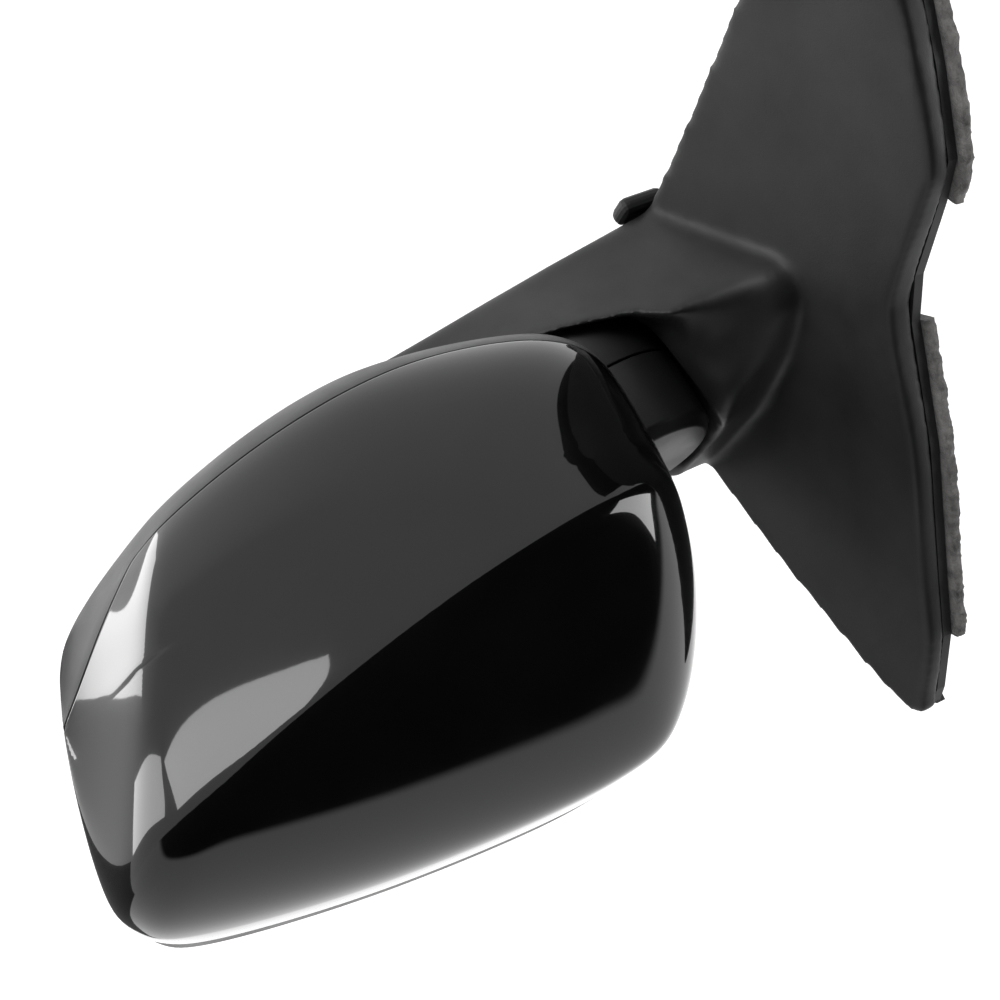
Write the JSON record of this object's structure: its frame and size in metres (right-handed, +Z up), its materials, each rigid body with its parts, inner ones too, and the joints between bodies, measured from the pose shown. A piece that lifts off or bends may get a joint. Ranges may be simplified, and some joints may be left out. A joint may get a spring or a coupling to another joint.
{
  "type": "car side mirror",
  "caption": "Left-hand car door mirror: painted cap over a textured housing, folding on a sprung neck above a triangular sail and foot, with a powered, heated tilting glass.",
  "frame": {"origin": "on the door's skin plane (X = 0), on the face of the rear door boss beside its screw hole", "axes": "+X out from the door, -Y towards the front of the car, +Z up; the glass faces +Y"},
  "size_m": [0.3286, 0.2886, 0.2427],
  "materials": {
    "paint": "high gloss black paint over moulded plastic",
    "textured_plastic": "finely textured black plastic",
    "inner_plastic": "plain moulded black plastic",
    "cast_alloy": "die cast",
    "steel": "zinc plated",
    "foam": "closed-cell grey foam",
    "rubber": "soft black rubber",
    "nylon": "natural nylon",
    "brass": "turned",
    "mirror": "silvered",
    "foil": "printed heater foil"
  },
  "bodies": {
    "root": {"sail_foot": "textured_plastic", "base_frame": "cast_alloy", "back_plate": "inner_plastic", "gasket_upper": "foam", "gasket_lower": "foam", "foot_undertray": "textured_plastic", "tray_screw_1": "steel", "tray_screw_2": "steel", "rear_lug": "textured_plastic", "cable_grommet": "rubber", "locating_peg": "inner_plastic", "edge_clip": "inner_plastic", "detent_ring_lower": "steel", "spring_washer": "steel", "spring_clip": "steel"},
    "head": {"cap": "paint", "lower_housing": "textured_plastic", "neck_collar": "textured_plastic", "neck_cover": "textured_plastic", "neck_seal": "rubber", "head_frame": "inner_plastic", "detent_ring_upper": "steel", "pivot_spring": "steel", "actuator_case": "inner_plastic", "actuator_lid": "inner_plastic", "actuator_screw_1": "steel", "actuator_screw_2": "steel", "actuator_screw_3": "steel", "motor_tilt": "steel", "motor_pan": "steel"},
    "gimbal": {"gimbal_ring": "nylon"},
    "glass": {"glass_carrier": "inner_plastic", "heater_pad": "foil", "mirror_glass": "mirror", "glass_bezel": "textured_plastic"},
    "plunger_tilt": {"plunger_tilt": "nylon"},
    "plunger_pan": {"plunger_pan": "nylon"},
    "screw_gear_tilt": {"screw_gear_tilt": "nylon"},
    "screw_gear_pan": {"screw_gear_pan": "nylon"},
    "worm_tilt": {"worm_tilt": "brass"},
    "worm_pan": {"worm_pan": "brass"}
  },
  "joints": [
    {"name": "fold", "type": "hinge", "parent": "root", "child": "head", "pos_m": [0.074, -0.012, 0.03], "axis": [0, 0, 1], "range_deg": [-15, 45]},
    {"name": "glass_tilt", "type": "hinge", "parent": "head", "child": "gimbal", "pos_m": [0.19517, 0.02398, 0.074], "axis": [0.9781, 0.2079, 0], "range_deg": [-8, 8]},
    {"name": "glass_pan", "type": "hinge", "parent": "gimbal", "child": "glass", "pos_m": [0.19517, 0.02398, 0.074], "axis": [0, 0, 1], "range_deg": [-8, 8]},
    {"name": "plunger_tilt_slide", "type": "slide", "parent": "head", "child": "plunger_tilt", "axis": [-0.2079, 0.9781, 0], "range_m": [-0.0038, 0.0038]},
    {"name": "screw_gear_tilt_spin", "type": "hinge", "parent": "head", "child": "screw_gear_tilt", "pos_m": [0.19881, 0.00686, 0.101], "axis": [-0.2079, 0.9781, 0], "range_deg": [-230, 230]},
    {"name": "worm_tilt_spin", "type": "hinge", "parent": "head", "child": "worm_tilt", "pos_m": [0.18516, 0.00396, 0.1], "axis": [0, 0, 1], "range_deg": [-1840, 1840]},
    {"name": "plunger_pan_slide", "type": "slide", "parent": "head", "child": "plunger_pan", "axis": [-0.2079, 0.9781, 0], "range_m": [-0.0038, 0.0038]},
    {"name": "screw_gear_pan_spin", "type": "hinge", "parent": "head", "child": "screw_gear_pan", "pos_m": [0.22522, 0.01247, 0.074], "axis": [-0.2079, 0.9781, 0], "range_deg": [-230, 230]},
    {"name": "worm_pan_spin", "type": "hinge", "parent": "head", "child": "worm_pan", "pos_m": [0.22424, 0.01227, 0.06005], "axis": [0.9781, 0.2079, 0], "range_deg": [-1840, 1840]}
  ],
  "couplings": [
    {"joint": "plunger_tilt_slide", "follows": "glass_tilt", "m_per_rad": -0.027},
    {"joint": "screw_gear_tilt_spin", "follows": "glass_tilt", "ratio": 28.274},
    {"joint": "worm_tilt_spin", "follows": "glass_tilt", "ratio": 226.19},
    {"joint": "plunger_pan_slide", "follows": "glass_pan", "m_per_rad": 0.027},
    {"joint": "screw_gear_pan_spin", "follows": "glass_pan", "ratio": 28.274},
    {"joint": "worm_pan_spin", "follows": "glass_pan", "ratio": 226.19}
  ]
}
